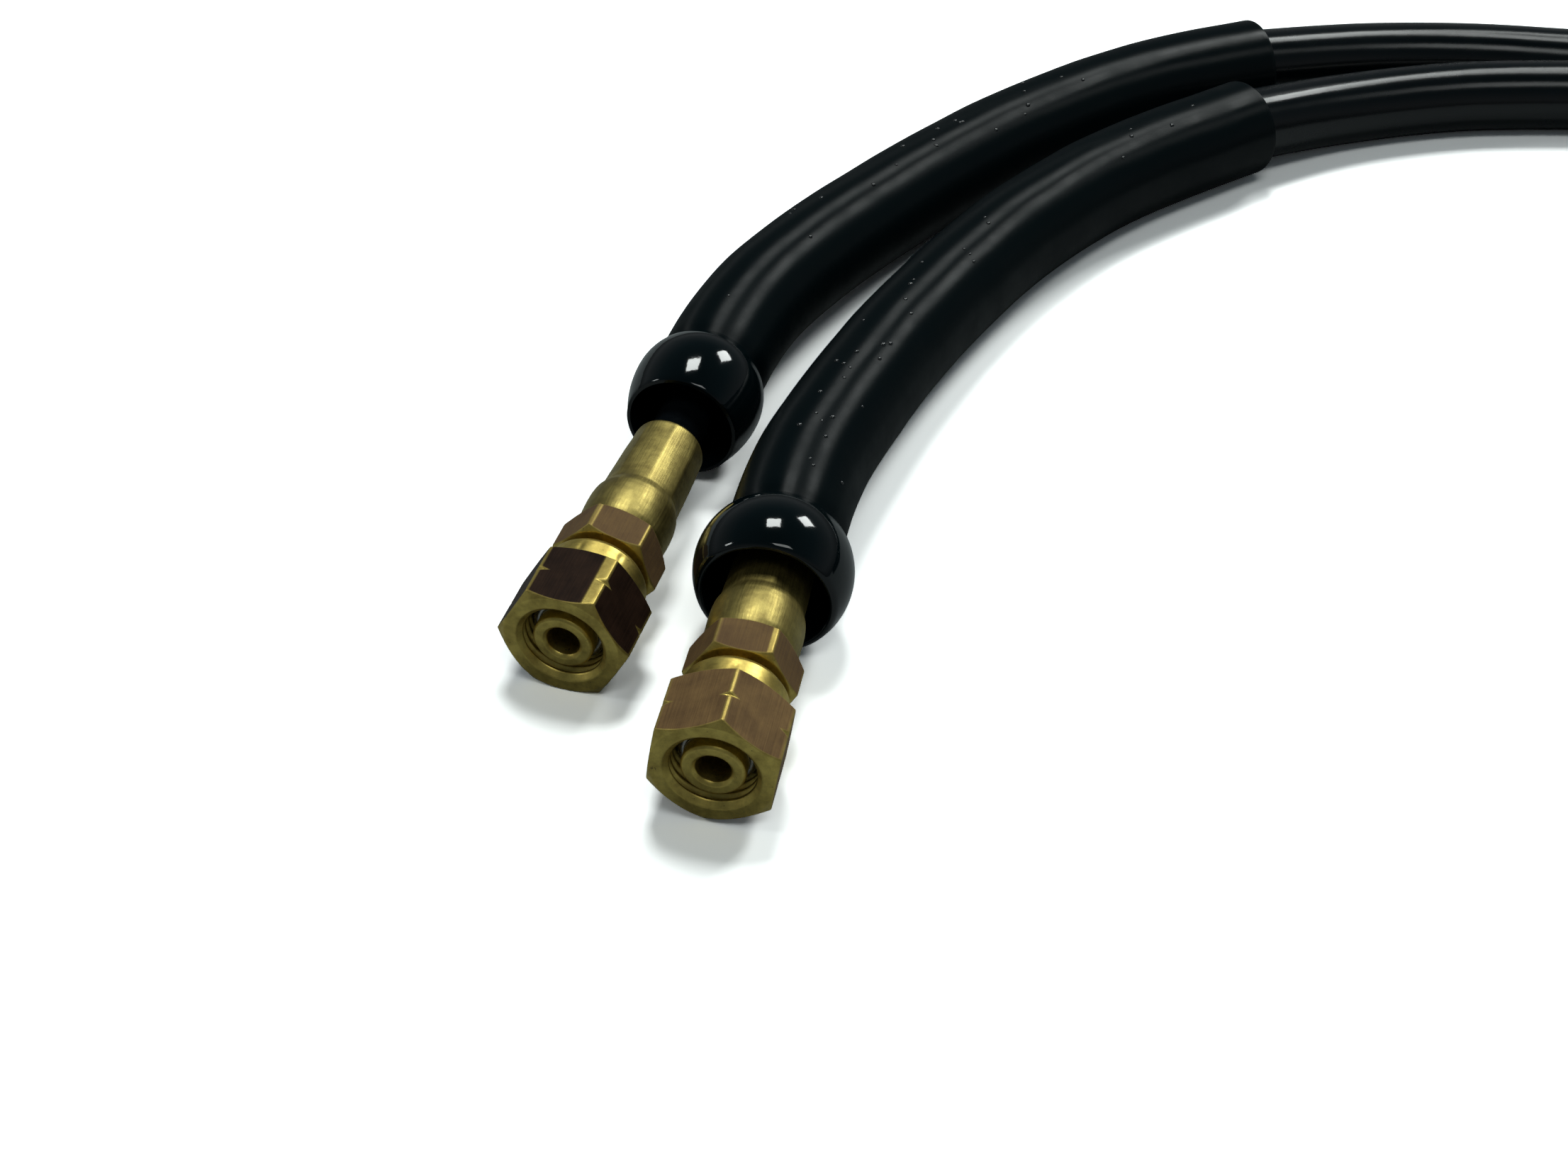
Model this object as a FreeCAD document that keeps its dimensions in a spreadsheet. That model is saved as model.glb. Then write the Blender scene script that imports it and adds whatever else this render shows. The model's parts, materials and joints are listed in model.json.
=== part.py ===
import FreeCAD, Part
import math
import os
import Sketcher
from FreeCAD import Vector

# A hose assembly with a swivel end fitting at each end, lying on a surface.
# Each fitting is turned brass: a swivel nut on a tail, and a ferrule crimped on the hose.
# A soft ball-mouthed sleeve covers the start of the conduit that the hose runs in.
# The frame: +Z up, z = 0 the surface, origin under the middle of the two ends.
# Lengths are millimetres. A fitting's depths are measured from its nut's front face.

DOC = FreeCAD.newDocument("hose_assembly")
OUT_DIR = "parts"

SIZES = {
    # swivel nut
    "nut_across_flats": 17.0,
    "nut_corner_radius": 9.815,
    "nut_face_radius": 8.45,
    "nut_mouth_radius": 6.7,
    "nut_mouth_depth": 0.85,
    "thread_crest_radius": 5.9,
    "thread_root_radius": 6.58,
    "thread_pitch": 1.337,
    "thread_first_depth": 1.6,
    "thread_count": 6.0,
    "thread_half_share": 0.44,
    "thread_runout": 0.7,
    "thread_overlap": 0.05,
    "nut_relief_start": 9.6,
    "nut_relief_radius": 6.6,
    "nut_seat_depth": 11.5,
    "nut_front_chamfer": 0.885,
    "nut_hex_end": 10.2,
    "nut_hex_back": 11.0,
    "nut_hex_back_radius": 8.2,
    "collar_radius": 7.5,
    "collar_end_radius": 6.7,
    "collar_end_length": 1.1,
    "collar_bore_radius": 4.75,
    "nut_length": 15.4,
    "notch_depth": 5.6,
    "notch_half_width": 0.45,
    "notch_floor_radius": 9.25,
    "notch_overlap": 0.4,
    # retaining ring
    "ring_wire_radius": 0.8,
    "ring_radius": 4.62,
    "ring_depth": 3.95,
    # tail
    "nose_depth": 0.53,
    "nose_radius": 4.43,
    "nose_edge": 0.35,
    "bore_radius": 2.45,
    "bore_edge": 0.45,
    "ring_groove_radius": 3.78,
    "ring_groove_start": 3.1,
    "ring_groove_end": 4.8,
    "tail_hex_across_flats": 14.0,
    "tail_hex_corner_radius": 8.08,
    "tail_hex_face_radius": 7.0,
    "tail_hex_start": 16.5,
    "tail_hex_chamfer": 0.6,
    "tail_hex_end": 22.3,
    "bore_step_depth": 20.0,
    "bore_step_length": 0.6,
    "stem_bore_radius": 1.7,
    "neck_radius": 3.6,
    "neck_end": 24.6,
    "shoulder_radius": 4.05,
    "shoulder_end": 25.6,
    "stem_radius": 2.25,
    "stem_step_length": 0.2,
    "barb_count": 6.0,
    "barb_radius": 2.4,
    "barb_length": 2.6,
    "barb_share": 0.8,
    "first_barb": 1.2,
    "stem_end": 44.0,
    # crimped ferrule
    "ferrule_front_radius": 5.9,
    "ferrule_brow_radius": 6.4,
    "ferrule_brow_depth": 23.0,
    "ferrule_shoulder_radius": 6.67,
    "ferrule_shoulder_depth": 25.0,
    "ferrule_dome_radius": 6.8,
    "ferrule_dome_depth": 27.4,
    "ferrule_back_radius": 6.7,
    "ferrule_back_depth": 29.0,
    "ferrule_step_radius": 6.4,
    "ferrule_step_depth": 30.5,
    "ferrule_crimp_depth": 31.2,
    "ferrule_crimp_radius": 6.05,
    "ferrule_end": 45.7,
    "ferrule_end_radius": 5.5,
    "ferrule_end_edge": 0.4,
    "ferrule_lip_radius": 3.63,
    "ferrule_bore_radius": 4.12,
    # inner hose, from inside the ferrule to its end in the sleeve
    "hose_start": 26.0,
    "hose_end": 64.0,
    "hose_bore_radius": 2.42,
    "core_radius": 3.1,
    "braid_inner_radius": 3.12,
    "braid_radius": 3.45,
    "cover_inner_radius": 3.47,
    "cover_radius": 4.1,
    # sleeve and conduit
    "sleeve_radius": 8.65,
    "sleeve_bore_radius": 6.55,
    "sleeve_edge": 1.6,
    "bell_wall": 1.3,
    "mouth_edge": 0.4,
    "neck_straight": 10.0,
    "neck_overlap": 0.01,
    "crease_radius": 8.05,
    "conduit_radius": 6.5,
    "conduit_bore_radius": 5.0,
    # coil of conduit
    "coil_inner_turn": 62.0,
    "coil_outer_turn": 75.2,
    "coil_lift": 0.8,
    "coil_height": 25.2,
    "coil_corner": 3.5,
    "coil_waist_height": 9.5,
    "coil_top_half_width": 4.4,
    "tie_thickness": 0.75,
    "tie_width_angle": 5.0,
}

# One end of the hose: where the nut's face is, its heading and rise in radians,
# the turns of the nut's and tail's hexagons in degrees, and its ball.
ENDS = {
    "left": {
        "face": (-57.36, -75.53, 8.57),
        "heading": 0.2997,
        "rise": 0.040,
        "nut_turn": 58.9,
        "tail_turn": 42.9,
        "ball_depth": 59.05,
        "ball_radius": 10.3,
        "front_arc_radius": 20.0,
        "mouth_ahead": 8.0,
        "mouth_radius": 8.4,
        "sleeve_route": [
            (-24.0, 19.5, 10.6),
            (-12.5, 36.0, 9.5),
            (-0.5, 50.5, 8.8),
            (14.0, 65.5, 8.65),
            (30.0, 78.0, 8.65),
            (47.5, 88.5, 8.65),
            (64.5, 94.5, 8.65),
        ],
        "run_route": [
            (79.5, 99.2, 7.5),
            (95.0, 101.6, 6.7),
            (110.0, 101.4, 6.5),
            (124.5, 99.2, 6.5),
            (142.5, 96.6, 6.6),
            (166.5, 94.4, 7.0),
            (193.5, 92.9, 7.3),
            (220.5, 92.6, 7.3),
            (244.5, 93.2, 7.3),
        ],
    },
    "right": {
        "face": (-35.87, -102.14, 9.65),
        "heading": 0.1996,
        "rise": 0.0483,
        "nut_turn": 81.0,
        "tail_turn": 54.8,
        "ball_depth": 39.86,
        "ball_radius": 11.5,
        "front_arc_radius": 11.5,
        "mouth_ahead": 5.8,
        "mouth_radius": 9.1,
        "sleeve_route": [
            (-16.5, -23.0, 11.8),
            (-7.0, -1.5, 10.2),
            (4.0, 18.5, 9.0),
            (17.0, 37.0, 8.65),
            (35.5, 55.5, 8.65),
            (59.0, 70.5, 8.65),
        ],
        "run_route": [
            (68.5, 76.0, 7.5),
            (80.0, 80.8, 6.7),
            (93.0, 84.3, 6.5),
            (106.5, 86.3, 6.5),
            (131.8, 86.2, 6.5),
            (157.1, 78.0, 9.3),
            (178.6, 62.3, 15.2),
            (194.3, 40.8, 20.5),
            (202.3, 16.0, 20.9),
        ],
    },
}

FIRST_STRAIGHT = 22.0  # from the ball's middle to the sleeve's first bend
COIL_CENTRE = (270.2, 18.2)
COIL_TIE_ANGLES = (40.0, 260.0)


def make_sheet():
    """The spreadsheet of driving sizes: a name in column A and a plain number in column B."""
    sheet = DOC.addObject("Spreadsheet::Sheet", "sizes")
    for row, (name, size) in enumerate(SIZES.items(), start=1):
        sheet.set(f"A{row}", name)
        sheet.set(f"B{row}", str(size))
        sheet.setAlias(f"B{row}", name)
    DOC.recompute()
    return sheet


SHEET = make_sheet()


def size(name):
    return float(SHEET.get(name))


def plane_of(body, role):
    return next(item for item in body.Origin.OriginFeatures if item.Role == role)


def new_body(label):
    body = DOC.addObject("PartDesign::Body", label)
    body.Label = label
    return body


def outline_sketch(body, name, outlines):
    """A sketch on the body's XZ plane. Each outline is a closed polygon of (radius, depth)
    expressions, and every corner is held from the origin by two bound distances."""
    sketch = body.newObject("Sketcher::SketchObject", name)
    sketch.AttachmentSupport = [(plane_of(body, "XZ_Plane"), "")]
    sketch.MapMode = "FlatFace"
    for outline in outlines:
        count = len(outline)
        first = sketch.GeometryCount
        for k in range(count):
            start = math.tau * k / count
            end = math.tau * (k + 1) / count
            sketch.addGeometry(
                Part.LineSegment(
                    Vector(20 + math.cos(start), 20 + math.sin(start), 0),
                    Vector(20 + math.cos(end), 20 + math.sin(end), 0),
                ),
                False,
            )
        for k in range(count):
            sketch.addConstraint(
                Sketcher.Constraint("Coincident", first + k, 2, first + (k + 1) % count, 1)
            )
        for k, (radius, depth) in enumerate(outline):
            for kind, expression in (("DistanceX", radius), ("DistanceY", depth)):
                if expression == "0":
                    on_axis = "PointOnObject"
                    axis = -2 if kind == "DistanceX" else -1
                    sketch.addConstraint(Sketcher.Constraint(on_axis, first + k, 1, axis))
                    continue
                index = sketch.addConstraint(
                    Sketcher.Constraint(kind, -1, 1, first + k, 1, 1.0)
                )
                sketch.setExpression(f"Constraints[{index}]", expression)
    return sketch


def revolve(body, name, sketch, angle=360.0):
    feature = body.newObject("PartDesign::Revolution", name)
    feature.Profile = sketch
    feature.ReferenceAxis = (sketch, ["V_Axis"])
    feature.Angle = angle


def turn_off(body, name, sketch):
    """A groove all round the body's axis. It must take volume away."""
    DOC.recompute()
    before = body.Shape.Volume
    feature = body.newObject("PartDesign::Groove", name)
    feature.Profile = sketch
    feature.ReferenceAxis = (sketch, ["V_Axis"])
    feature.Angle = 360.0
    DOC.recompute()
    if not body.Shape.Volume < before:
        raise RuntimeError(f"{name} cuts nothing")


def mill_hexagon(body, name, flats, start, length, circle):
    """Mill six flats: pocket what lies between a hexagon and a circle round it."""
    sketch = body.newObject("Sketcher::SketchObject", name + "_sketch")
    sketch.AttachmentSupport = [(plane_of(body, "XY_Plane"), "")]
    sketch.MapMode = "FlatFace"
    sketch.setExpression("AttachmentOffset.Base.z", start)
    corner = size(circle)
    for k in range(6):
        start_angle = math.radians(60 * k)
        end_angle = math.radians(60 * (k + 1))
        sketch.addGeometry(
            Part.LineSegment(
                Vector(corner * math.cos(start_angle), corner * math.sin(start_angle), 0),
                Vector(corner * math.cos(end_angle), corner * math.sin(end_angle), 0),
            ),
            False,
        )
    for k in range(6):
        sketch.addConstraint(Sketcher.Constraint("Coincident", k, 2, (k + 1) % 6, 1))
    for k in range(5):
        sketch.addConstraint(Sketcher.Constraint("Equal", k, k + 1))
    guide = sketch.addGeometry(Part.Circle(Vector(0, 0, 0), Vector(0, 0, 1), corner), True)
    sketch.addConstraint(Sketcher.Constraint("Coincident", guide, 3, -1, 1))
    for k in range(6):
        sketch.addConstraint(Sketcher.Constraint("PointOnObject", k, 1, guide))
    sketch.addConstraint(Sketcher.Constraint("PointOnObject", 0, 1, -1))
    across = sketch.addConstraint(Sketcher.Constraint("Distance", 0, 1, 3, 1.7 * corner))
    sketch.setExpression(f"Constraints[{across}]", flats)
    rim = sketch.addGeometry(Part.Circle(Vector(0, 0, 0), Vector(0, 0, 1), 2 * corner), False)
    sketch.addConstraint(Sketcher.Constraint("Coincident", rim, 3, -1, 1))
    rim_radius = sketch.addConstraint(Sketcher.Constraint("Radius", rim, 2 * corner))
    sketch.setExpression(f"Constraints[{rim_radius}]", f"2 * sizes.{circle}")
    DOC.recompute()
    before = body.Shape.Volume
    pocket = body.newObject("PartDesign::Pocket", name)
    pocket.Profile = sketch
    pocket.setExpression("Length", length)
    pocket.Reversed = True
    DOC.recompute()
    if not body.Shape.Volume < before:
        raise RuntimeError(f"{name} cuts nothing")


def lay_along(body, end, turn=0.0):
    """Put a turned body's axis on the end's axis, its origin at the nut's face."""
    axis = axis_of(end)
    across = axis.cross(Vector(0, 0, 1)).normalize()
    frame = FreeCAD.Rotation(across, axis.cross(across), axis, "ZXY")
    spin = FreeCAD.Rotation(Vector(0, 0, 1), -turn)
    body.Placement = FreeCAD.Placement(Vector(*end["face"]), frame.multiply(spin))


def axis_of(end):
    """The fitting's direction, from the nut's face towards the sleeve."""
    heading, rise = end["heading"], end["rise"]
    return Vector(
        math.sin(heading) * math.cos(rise),
        math.cos(heading) * math.cos(rise),
        math.sin(rise),
    )


def on_axis(end, depth):
    return Vector(*end["face"]) + axis_of(end) * depth


def make_nut(side, end):
    body = new_body(f"swivel_nut_{side}")
    outside = [
        ("sizes.nut_mouth_radius", "0"),
        ("sizes.nut_face_radius", "0"),
        ("sizes.nut_corner_radius", "sizes.nut_front_chamfer"),
        ("sizes.nut_corner_radius", "sizes.nut_hex_end"),
        ("sizes.nut_hex_back_radius", "sizes.nut_hex_back"),
        ("sizes.collar_radius", "sizes.nut_hex_back"),
        ("sizes.collar_radius", "sizes.nut_length - sizes.collar_end_length"),
        ("sizes.collar_end_radius", "sizes.nut_length"),
        ("sizes.collar_bore_radius", "sizes.nut_length"),
        ("sizes.collar_bore_radius", "sizes.nut_seat_depth"),
        ("sizes.nut_relief_radius", "sizes.nut_seat_depth"),
        ("sizes.nut_relief_radius", "sizes.nut_relief_start"),
        ("sizes.thread_crest_radius", "sizes.nut_relief_start - sizes.thread_runout"),
        ("sizes.thread_crest_radius", "sizes.nut_mouth_depth"),
    ]
    revolve(body, "nut_blank", outline_sketch(body, "nut_outline", [outside]))
    mill_hexagon(
        body,
        "nut_flats",
        "sizes.nut_across_flats",
        "0 mm",
        "sizes.nut_hex_back",
        "nut_corner_radius",
    )
    notch_top = "sizes.nut_corner_radius + sizes.notch_overlap"
    notch = [
        ("sizes.notch_floor_radius", "sizes.notch_depth"),
        (notch_top, "sizes.notch_depth - sizes.notch_half_width"),
        (notch_top, "sizes.notch_depth + sizes.notch_half_width"),
    ]
    turn_off(body, "corner_notches", outline_sketch(body, "notch_outline", [notch]))
    half = "sizes.thread_pitch * sizes.thread_half_share"
    mouth = "sizes.thread_crest_radius - sizes.thread_overlap"
    threads = []
    for k in range(int(size("thread_count"))):
        middle = f"sizes.thread_first_depth + {k} * sizes.thread_pitch"
        threads.append(
            [
                ("sizes.thread_root_radius", middle),
                (mouth, f"{middle} + {half}"),
                (mouth, f"{middle} - {half}"),
            ]
        )
    turn_off(body, "threads", outline_sketch(body, "thread_outline", threads))
    lay_along(body, end, end["nut_turn"])
    return body


def make_retaining_ring(side, end):
    """A round wire ring that sits in the tail's groove and stops the nut coming off."""
    ring = DOC.addObject("Part::Torus", f"retaining_ring_{side}")
    ring.setExpression("Radius1", "sizes.ring_radius")
    ring.setExpression("Radius2", "sizes.ring_wire_radius")
    axis = axis_of(end)
    ring.Placement = FreeCAD.Placement(
        on_axis(end, size("ring_depth")), FreeCAD.Rotation(Vector(0, 0, 1), axis)
    )
    return ring


def make_tail(side, end):
    body = new_body(f"hose_tail_{side}")
    stem = []
    for k in range(int(size("barb_count"))):
        start = f"sizes.shoulder_end + sizes.first_barb + {k} * sizes.barb_length"
        stem.append(("sizes.barb_radius", start))
        stem.append(("sizes.stem_radius", f"{start} + sizes.barb_length * sizes.barb_share"))
    outside = [
        ("sizes.bore_radius + sizes.bore_edge", "sizes.nose_depth"),
        ("sizes.nose_radius - sizes.nose_edge", "sizes.nose_depth"),
        ("sizes.nose_radius", "sizes.nose_depth + sizes.nose_edge"),
        ("sizes.nose_radius", "sizes.ring_groove_start"),
        ("sizes.ring_groove_radius", "sizes.ring_groove_start"),
        ("sizes.ring_groove_radius", "sizes.ring_groove_end"),
        ("sizes.nose_radius", "sizes.ring_groove_end"),
        ("sizes.nose_radius", "sizes.tail_hex_start"),
        ("sizes.tail_hex_face_radius", "sizes.tail_hex_start"),
        ("sizes.tail_hex_corner_radius", "sizes.tail_hex_start + sizes.tail_hex_chamfer"),
        ("sizes.tail_hex_corner_radius", "sizes.tail_hex_end - sizes.tail_hex_chamfer"),
        ("sizes.tail_hex_face_radius", "sizes.tail_hex_end"),
        ("sizes.neck_radius", "sizes.tail_hex_end"),
        ("sizes.neck_radius", "sizes.neck_end"),
        ("sizes.shoulder_radius", "sizes.neck_end"),
        ("sizes.shoulder_radius", "sizes.shoulder_end"),
        ("sizes.stem_radius", "sizes.shoulder_end + sizes.stem_step_length"),
        *stem,
        ("sizes.stem_radius", "sizes.stem_end"),
        ("sizes.stem_bore_radius", "sizes.stem_end"),
        ("sizes.stem_bore_radius", "sizes.bore_step_depth + sizes.bore_step_length"),
        ("sizes.bore_radius", "sizes.bore_step_depth"),
        ("sizes.bore_radius", "sizes.nose_depth + sizes.bore_edge"),
    ]
    revolve(body, "tail_blank", outline_sketch(body, "tail_outline", [outside]))
    mill_hexagon(
        body,
        "tail_flats",
        "sizes.tail_hex_across_flats",
        "sizes.tail_hex_start * 1 mm",
        "sizes.tail_hex_end - sizes.tail_hex_start",
        "tail_hex_corner_radius",
    )
    lay_along(body, end, end["tail_turn"])
    return body


def make_ferrule(side, end):
    body = new_body(f"crimp_ferrule_{side}")
    outline = [
        ("sizes.ferrule_lip_radius", "sizes.tail_hex_end"),
        ("sizes.ferrule_front_radius", "sizes.tail_hex_end"),
        ("sizes.ferrule_brow_radius", "sizes.ferrule_brow_depth"),
        ("sizes.ferrule_shoulder_radius", "sizes.ferrule_shoulder_depth"),
        ("sizes.ferrule_dome_radius", "sizes.ferrule_dome_depth"),
        ("sizes.ferrule_back_radius", "sizes.ferrule_back_depth"),
        ("sizes.ferrule_step_radius", "sizes.ferrule_step_depth"),
        ("sizes.ferrule_crimp_radius", "sizes.ferrule_crimp_depth"),
        ("sizes.ferrule_end_radius", "sizes.ferrule_end - sizes.ferrule_end_edge"),
        ("sizes.ferrule_end_radius - sizes.ferrule_end_edge", "sizes.ferrule_end"),
        ("sizes.ferrule_bore_radius", "sizes.ferrule_end"),
        ("sizes.ferrule_bore_radius", "sizes.neck_end"),
        ("sizes.ferrule_lip_radius", "sizes.neck_end"),
    ]
    revolve(body, "ferrule_turning", outline_sketch(body, "ferrule_outline", [outline]))
    lay_along(body, end)
    return body


def make_hose_layers(side, end):
    """The inner hose that the stem grips: its core tube, its braid and its cover."""
    layers = {
        "hose_core": ("sizes.hose_bore_radius", "sizes.core_radius"),
        "hose_braid": ("sizes.braid_inner_radius", "sizes.braid_radius"),
        "hose_cover": ("sizes.cover_inner_radius", "sizes.cover_radius"),
    }
    bodies = []
    for name, (inner, outer) in layers.items():
        body = new_body(f"{name}_{side}")
        outline = [
            (inner, "sizes.hose_start"),
            (outer, "sizes.hose_start"),
            (outer, "sizes.hose_end"),
            (inner, "sizes.hose_end"),
        ]
        revolve(body, name + "_tube", outline_sketch(body, name + "_outline", [outline]))
        lay_along(body, end)
        bodies.append(body)
    return bodies


def rounded_path(points, name):
    """Straight runs joined by tangent arcs, each as large as its two runs allow."""
    points = [Vector(*point) for point in points]
    edges = []
    radii = []
    last = points[0]
    for before, corner, after in zip(points, points[1:], points[2:]):
        back = before - corner
        ahead = after - corner
        trim = 0.45 * min(back.Length, ahead.Length)
        turn = math.pi - back.getAngle(ahead)
        radius = trim / math.tan(turn / 2)
        back.normalize()
        ahead.normalize()
        start = corner + back * trim
        end = corner + ahead * trim
        inward = (back + ahead).normalize()
        middle = corner + inward * (radius / math.cos(turn / 2) - radius)
        edges.append(Part.LineSegment(last, start).toShape())
        edges.append(Part.Arc(start, middle, end).toShape())
        radii.append(round(radius))
        last = end
    edges.append(Part.LineSegment(last, points[-1]).toShape())
    print(name, "bend radii", radii)
    return Part.Wire(edges)


def tube_along(path, radius):
    """A solid rod swept along a path, its volume compared with section times length."""
    start = path.Edges[0].valueAt(path.Edges[0].FirstParameter)
    along = path.Edges[0].tangentAt(path.Edges[0].FirstParameter)
    section = Part.Wire(Part.makeCircle(radius, start, along))
    rod = path.makePipeShell([section], True, False)
    expected = math.pi * radius**2 * path.Length
    if abs(rod.Volume / expected - 1) > 0.01:
        raise RuntimeError(f"swept volume {rod.Volume:.0f} is not {expected:.0f}")
    return rod


def part_feature(label, shape):
    feature = DOC.addObject("Part::Feature", label)
    feature.Label = label
    feature.Shape = shape
    return feature


def sleeve_points(end):
    """From the start of the sleeve's straight neck to its rear end."""
    ball = end["ball_depth"]
    straight = [
        on_axis(end, ball + size("neck_straight")),
        on_axis(end, ball + FIRST_STRAIGHT),
    ]
    return [tuple(point) for point in straight] + end["sleeve_route"]


def turned(points):
    """A solid turned about the Z axis from (radius, depth) corners and arcs.
    An arc is given as (radius, depth) through-point and end, in a tuple of two."""
    edges = []
    last = Vector(points[0][0], 0, points[0][1])
    for entry in points[1:]:
        if isinstance(entry[0], tuple):
            through, end = (Vector(radius, 0, depth) for radius, depth in entry)
            edges.append(Part.Arc(last, through, end).toShape())
        else:
            end = Vector(entry[0], 0, entry[1])
            edges.append(Part.LineSegment(last, end).toShape())
        last = end
    face = Part.Face(Part.Wire(edges))
    return face.revolve(Vector(0, 0, 0), Vector(0, 0, 1), 360)


def bell_outside(end):
    """The ball and the rounded front of the tube behind it, about the ball's middle."""
    ball = end["ball_radius"]
    front = end["front_arc_radius"]
    mouth = end["mouth_ahead"]
    crease = size("crease_radius")
    tube = size("sleeve_radius")
    rim = ball - front + math.sqrt(front**2 - mouth**2)
    half = ball - front + math.sqrt(front**2 - (mouth / 2) ** 2)
    crease_depth = math.sqrt(ball**2 - crease**2)
    half_crease = math.sqrt(ball**2 - (crease_depth / 2) ** 2)
    edge = tube - crease
    neck = max(size("neck_straight"), crease_depth + edge) + size("neck_overlap")
    lip = size("mouth_edge")
    ease = lip * (1 - math.sqrt(0.5))
    return turned(
        [
            (0, -mouth),
            (rim - lip, -mouth),
            ((rim - ease, -mouth + ease), (rim, -mouth + lip)),
            ((half, -mouth / 2), (ball, 0)),
            ((half_crease, crease_depth / 2), (crease, crease_depth)),
            ((crease + 0.7 * edge, crease_depth + 0.3 * edge), (tube, crease_depth + edge)),
            (tube, neck),
            (0, neck),
            (0, -mouth),
        ]
    )


def bell_inside(end):
    """The hollow of the ball and the way in through its mouth."""
    cavity = end["ball_radius"] - size("bell_wall")
    mouth = end["mouth_ahead"]
    opening = end["mouth_radius"]
    bore = size("sleeve_bore_radius")
    inner_mouth = -math.sqrt(max(cavity**2 - opening**2, 0.0))
    back = math.sqrt(cavity**2 - bore**2)
    neck = size("neck_straight") + 2 * size("neck_overlap")
    return turned(
        [
            (0, -mouth - 1),
            (opening, -mouth - 1),
            (opening, inner_mouth),
            ((cavity, 0), (bore, back)),
            (bore, neck),
            (0, neck),
            (0, -mouth - 1),
        ]
    )


def place_on_axis(shape, end, depth):
    placed = shape.copy()
    placed.Placement = FreeCAD.Placement(
        on_axis(end, depth), FreeCAD.Rotation(Vector(0, 0, 1), axis_of(end))
    )
    return placed


def rear_edge(solid, end):
    """The circle round the outside of the sleeve's rear end."""
    rear = Vector(*end["sleeve_route"][-1])
    circles = [
        edge
        for edge in solid.Edges
        if edge.Curve.TypeId == "Part::GeomCircle"
        and abs(edge.Curve.Radius - size("sleeve_radius")) < 0.01
    ]
    return min(circles, key=lambda edge: (edge.Curve.Center - rear).Length)


def make_sleeve(side, end):
    """The sleeve, and in its bore the conduit's end and the inner hose."""
    path = rounded_path(sleeve_points(end), f"bell_sleeve_{side}")
    outside = place_on_axis(bell_outside(end), end, end["ball_depth"])
    inside = place_on_axis(bell_inside(end), end, end["ball_depth"])
    tube = tube_along(path, size("sleeve_radius"))
    bore = tube_along(path, size("sleeve_bore_radius"))
    solid = outside.fuse(tube).cut(inside).cut(bore).Solids[0]
    solid = solid.makeFillet(size("sleeve_edge"), [rear_edge(solid, end)])
    past_first_bend = Part.Wire(path.Edges[2:])
    conduit = tube_along(past_first_bend, size("conduit_radius"))
    conduit = conduit.cut(tube_along(past_first_bend, size("conduit_bore_radius")))
    hose = tube_along(past_first_bend, size("cover_radius"))
    hose = hose.cut(tube_along(past_first_bend, size("hose_bore_radius")))
    return [
        part_feature(f"bell_sleeve_{side}", solid.Solids[0]),
        part_feature(f"conduit_end_{side}", conduit.Solids[0]),
        part_feature(f"inner_hose_run_{side}", hose.Solids[0]),
    ]


def make_conduit_run(side, end):
    """The free conduit with the hose in it, from the sleeve's rear end into the coil."""
    route = [end["sleeve_route"][-1]] + end["run_route"]
    rod = tube_along(rounded_path(route, f"conduit_run_{side}"), size("conduit_radius"))
    return part_feature(f"conduit_run_{side}", rod)


def coil_outline():
    """The outer shape of two turns side by side with a third on top, in the coil's section."""
    inner = "sizes.coil_inner_turn - sizes.conduit_radius"
    outer = "sizes.coil_outer_turn + sizes.conduit_radius"
    foot = "sizes.coil_corner"
    waist = "sizes.coil_waist_height"
    top_half = "sizes.coil_top_half_width"
    middle = "(sizes.coil_inner_turn + sizes.coil_outer_turn) / 2"
    return [
        (f"{inner} + {foot}", "sizes.coil_lift"),
        (f"{outer} - {foot}", "sizes.coil_lift"),
        (outer, f"sizes.coil_lift + {foot}"),
        (outer, waist),
        (f"{middle} + {top_half}", "sizes.coil_height"),
        (f"{middle} - {top_half}", "sizes.coil_height"),
        (inner, waist),
        (inner, f"sizes.coil_lift + {foot}"),
    ]


def make_coil():
    body = new_body("conduit_coil")
    revolve(body, "coil_turns", outline_sketch(body, "coil_outline", [coil_outline()]))
    body.Placement = FreeCAD.Placement(Vector(*COIL_CENTRE, 0), FreeCAD.Rotation())
    return body


def make_coil_tie(number, angle):
    """A strap round the coil's section."""
    body = new_body(f"coil_tie_{number}")
    thick = "sizes.tie_thickness"
    inside = coil_outline()
    outward = [(-0.4, -1), (0.4, -1), (1, -0.4), (1, 0.3), (0.7, 1), (-0.7, 1), (-1, 0.3), (-1, -0.4)]
    outside = [
        (f"{radius} + {across} * {thick}", f"{height} + {up} * {thick}")
        for (radius, height), (across, up) in zip(inside, outward)
    ]
    sketch = outline_sketch(body, f"tie_outline_{number}", [outside, inside])
    revolve(body, f"tie_strap_{number}", sketch, size("tie_width_angle"))
    turn = FreeCAD.Rotation(Vector(0, 0, 1), angle)
    body.Placement = FreeCAD.Placement(Vector(*COIL_CENTRE, 0), turn)
    return body


def build_all():
    nodes = []
    for side, end in ENDS.items():
        nodes.append(make_nut(side, end))
        nodes.append(make_retaining_ring(side, end))
        nodes.append(make_tail(side, end))
        nodes.append(make_ferrule(side, end))
        nodes += make_hose_layers(side, end)
        nodes += make_sleeve(side, end)
        nodes.append(make_conduit_run(side, end))
    nodes.append(make_coil())
    for number, angle in enumerate(COIL_TIE_ANGLES, start=1):
        nodes.append(make_coil_tie(number, angle))
    DOC.recompute()
    return nodes


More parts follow.
